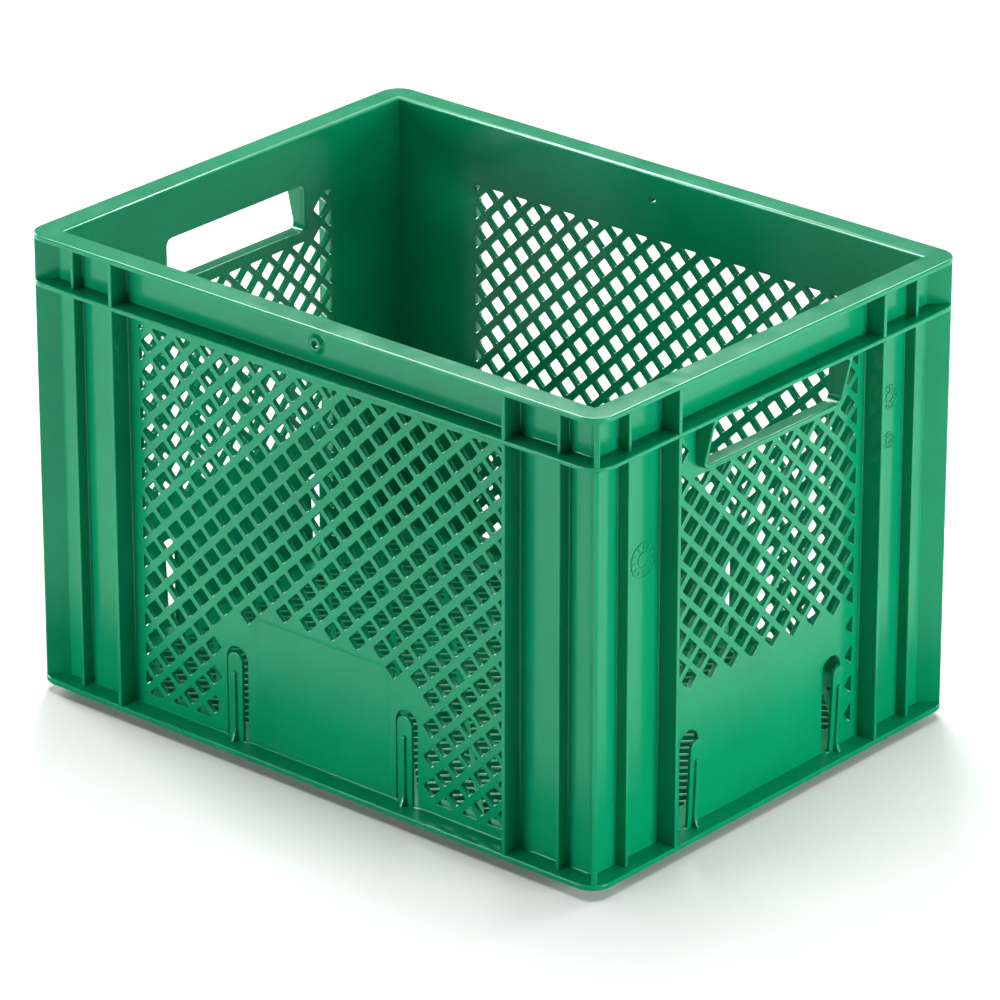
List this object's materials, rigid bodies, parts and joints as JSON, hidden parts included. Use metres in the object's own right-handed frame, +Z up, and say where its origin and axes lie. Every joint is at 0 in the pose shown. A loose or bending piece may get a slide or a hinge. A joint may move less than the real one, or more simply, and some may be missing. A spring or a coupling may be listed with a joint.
{
  "type": "stacking crate",
  "caption": "Open-top rectangular stacking crate with lattice walls and grille floor, flanged rim, upright ribs, hand openings in both ends and springy label clips at the base.",
  "frame": {"origin": "centre of the crate's footprint, on the underside of the stacking foot", "axes": "+X along the 400 mm length, towards the end wall seen in the picture; +Y across the 300 mm width, away from the front long wall; +Z up"},
  "size_m": [0.4, 0.3, 0.27],
  "materials": {
    "moulded_plastic": "satin green polypropylene"
  },
  "bodies": {
    "crate": {"top_rim": "moulded_plastic", "front_band": "moulded_plastic", "back_band": "moulded_plastic", "left_band": "moulded_plastic", "right_band": "moulded_plastic", "band_flange": "moulded_plastic", "front_lattice_wall": "moulded_plastic", "back_lattice_wall": "moulded_plastic", "left_lattice_wall": "moulded_plastic", "right_lattice_wall": "moulded_plastic", "left_handle": "moulded_plastic", "right_handle": "moulded_plastic", "front_left_corner": "moulded_plastic", "front_right_corner": "moulded_plastic", "back_left_corner": "moulded_plastic", "back_right_corner": "moulded_plastic", "front_ribs": "moulded_plastic", "back_ribs": "moulded_plastic", "left_ribs": "moulded_plastic", "right_ribs": "moulded_plastic", "base_flange": "moulded_plastic", "floor_grille": "moulded_plastic", "floor_long_beams": "moulded_plastic", "floor_cross_beams": "moulded_plastic", "stacking_foot": "moulded_plastic", "mould_date_dials": "moulded_plastic"},
    "front left clip": {"front_left_clip": "moulded_plastic"},
    "front right clip": {"front_right_clip": "moulded_plastic"},
    "back left clip": {"back_left_clip": "moulded_plastic"},
    "back right clip": {"back_right_clip": "moulded_plastic"},
    "left front clip": {"left_front_clip": "moulded_plastic"},
    "left back clip": {"left_back_clip": "moulded_plastic"},
    "right front clip": {"right_front_clip": "moulded_plastic"},
    "right back clip": {"right_back_clip": "moulded_plastic"}
  },
  "joints": [
    {"name": "front_left_clip_flex", "type": "hinge", "parent": "crate", "child": "front left clip", "pos_m": [-0.0605, -0.1386, 0.0103], "axis": [1, 0, 0], "range_deg": [-2, 3], "stiffness_Nm_per_rad": 2.3},
    {"name": "front_right_clip_flex", "type": "hinge", "parent": "crate", "child": "front right clip", "pos_m": [0.0605, -0.1386, 0.0103], "axis": [1, 0, 0], "range_deg": [-2, 3], "stiffness_Nm_per_rad": 2.3},
    {"name": "back_left_clip_flex", "type": "hinge", "parent": "crate", "child": "back left clip", "pos_m": [-0.0605, 0.1386, 0.0103], "axis": [-1, 0, 0], "range_deg": [-2, 3], "stiffness_Nm_per_rad": 2.3},
    {"name": "back_right_clip_flex", "type": "hinge", "parent": "crate", "child": "back right clip", "pos_m": [0.0605, 0.1386, 0.0103], "axis": [-1, 0, 0], "range_deg": [-2, 3], "stiffness_Nm_per_rad": 2.3},
    {"name": "left_front_clip_flex", "type": "hinge", "parent": "crate", "child": "left front clip", "pos_m": [-0.1902, -0.06, 0.0103], "axis": [0, -1, 0], "range_deg": [-2, 3], "stiffness_Nm_per_rad": 2.3},
    {"name": "left_back_clip_flex", "type": "hinge", "parent": "crate", "child": "left back clip", "pos_m": [-0.1902, 0.06, 0.0103], "axis": [0, -1, 0], "range_deg": [-2, 3], "stiffness_Nm_per_rad": 2.3},
    {"name": "right_front_clip_flex", "type": "hinge", "parent": "crate", "child": "right front clip", "pos_m": [0.1902, -0.06, 0.0103], "axis": [0, 1, 0], "range_deg": [-2, 3], "stiffness_Nm_per_rad": 2.3},
    {"name": "right_back_clip_flex", "type": "hinge", "parent": "crate", "child": "right back clip", "pos_m": [0.1902, 0.06, 0.0103], "axis": [0, 1, 0], "range_deg": [-2, 3], "stiffness_Nm_per_rad": 2.3}
  ]
}
